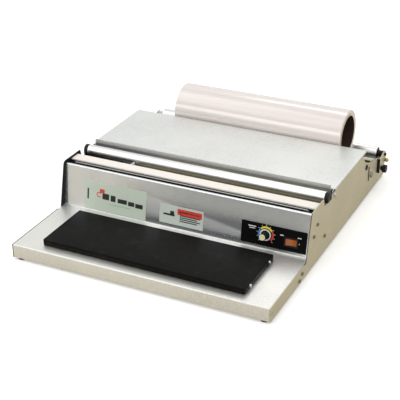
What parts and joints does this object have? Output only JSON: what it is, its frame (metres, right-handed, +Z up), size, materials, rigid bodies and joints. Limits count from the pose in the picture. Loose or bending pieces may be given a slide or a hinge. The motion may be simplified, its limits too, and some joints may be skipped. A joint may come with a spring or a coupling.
{
  "type": "hand film wrapping machine",
  "caption": "Tabletop film wrapping machine: steel body with a black hot plate, heated cutter rod, guide roller, hinged cover and a film roll on two rollers.",
  "frame": {"origin": "on the table under the middle of the machine's box", "axes": "+X to the operator's right, +Y from the hot plate to the film roll, +Z up"},
  "size_m": [0.5216, 0.59, 0.1547],
  "materials": {
    "sheet_front": "fine grained satin",
    "sheet_side": "warm satin",
    "tray": "galvanised",
    "inner_paint": "satin",
    "rest_rubber": "matte",
    "black_sheet": "satin",
    "rod": "drawn",
    "black_plastic": "satin",
    "roller_chrome": "bright",
    "screws": "bright",
    "brass": "satin",
    "plate_coating": "woven non-stick coating",
    "plate_slab": "machined",
    "heater": "matte",
    "thermo": "satin",
    "fascia": "satin",
    "label": "satin",
    "board": "satin",
    "iron": "varnished",
    "coil": "satin",
    "terminal": "satin",
    "cable": "satin",
    "foot_rubber": "matte",
    "card": "spiral wound card",
    "film": "wound clear film",
    "knob_black": "satin",
    "knob_cap": "spun",
    "lens": "clear orange"
  },
  "bodies": {
    "base": {"base_tray": "tray", "rubber_feet": "foot_rubber", "foot_screws": "screws", "front_deck": "sheet_front", "left_side_plate": "sheet_side", "right_side_plate": "sheet_side", "rear_rail": "sheet_side", "inner_cover": "inner_paint", "side_screws": "screws", "film_rest_bar": "sheet_front", "film_rest_strip": "rest_rubber", "cutter_channel": "black_sheet", "cutter_rod": "rod", "cutter_insulators": "black_plastic", "guide_roller_blocks": "black_plastic", "support_roller_bushes": "black_plastic", "rear_roller_bushes": "black_plastic", "left_roller_bracket": "sheet_side", "right_roller_bracket": "sheet_side", "bracket_bolts": "screws", "lock_screws": "brass", "hot_plate_cover": "plate_coating", "hot_plate_slab": "plate_slab", "hot_plate_heater": "heater", "hot_plate_insulation": "heater", "hot_plate_bolts": "screws", "hot_plate_screws": "screws", "thermostat": "thermo", "control_plate": "fascia", "front_labels": "label", "potentiometer": "thermo", "switch_housing": "black_plastic", "controller_board": "board", "heat_sink": "plate_slab", "transformer_core": "iron", "transformer_coil": "coil", "terminal_block": "terminal", "cable_grommet": "foot_rubber", "wiring": "cable", "cover_pivot_screws": "screws", "left_clamp_stud": "rod", "right_clamp_stud": "rod"},
    "cover": {"top_cover": "sheet_front"},
    "guide_roller": {"guide_roller_tube": "roller_chrome", "guide_roller_plugs": "black_plastic"},
    "front_support_roller": {"front_support_roller_tube": "roller_chrome", "front_support_roller_plugs": "black_plastic"},
    "rear_support_roller": {"rear_support_roller_tube": "roller_chrome", "rear_support_roller_plugs": "black_plastic"},
    "film_roll": {"film_core": "card", "film_winding": "film"},
    "heat_knob": {"temperature_knob": "knob_black", "knob_cap": "knob_cap", "knob_shaft": "rod"},
    "rocker": {"power_rocker": "lens"},
    "left_knob": {"left_clamp_knob": "knob_black"},
    "right_knob": {"right_clamp_knob": "knob_black"}
  },
  "joints": [
    {"name": "cover_lift", "type": "hinge", "parent": "base", "child": "cover", "pos_m": [0, -0.0094, 0.097], "axis": [1, 0, 0], "range_deg": [0, 40]},
    {"name": "guide_roller_spin", "type": "hinge", "parent": "base", "child": "guide_roller", "pos_m": [0, -0.0369, 0.1035], "axis": [1, 0, 0], "continuous": true},
    {"name": "film_roll_spin", "type": "hinge", "parent": "base", "child": "film_roll", "pos_m": [0, 0.22203, 0.10573], "axis": [1, 0, 0], "continuous": true},
    {"name": "front_support_roller_spin", "type": "hinge", "parent": "base", "child": "front_support_roller", "pos_m": [0, 0.1716, 0.07], "axis": [1, 0, 0], "continuous": true},
    {"name": "rear_support_roller_spin", "type": "hinge", "parent": "base", "child": "rear_support_roller", "pos_m": [0, 0.2636, 0.06], "axis": [1, 0, 0], "continuous": true},
    {"name": "heat_knob_turn", "type": "hinge", "parent": "base", "child": "heat_knob", "pos_m": [0.162, -0.12251, 0.05663], "axis": [0, 0.9864, -0.1644], "range_deg": [0, 270]},
    {"name": "power_rocker_tilt", "type": "hinge", "parent": "base", "child": "rocker", "pos_m": [0.2085, -0.12177, 0.05195], "axis": [0, -0.1644, -0.9864], "range_deg": [0, 16]},
    {"name": "left_knob_turn", "type": "hinge", "parent": "base", "child": "left_knob", "pos_m": [-0.2585, 0.2456, 0.038], "axis": [-1, 0, 0], "range_deg": [0, 360]},
    {"name": "right_knob_turn", "type": "hinge", "parent": "base", "child": "right_knob", "pos_m": [0.2585, 0.2456, 0.038], "axis": [1, 0, 0], "range_deg": [0, 360]}
  ],
  "couplings": [
    {"joint": "front_support_roller_spin", "follows": "film_roll_spin", "ratio": -3.92},
    {"joint": "rear_support_roller_spin", "follows": "film_roll_spin", "ratio": -3.92}
  ]
}
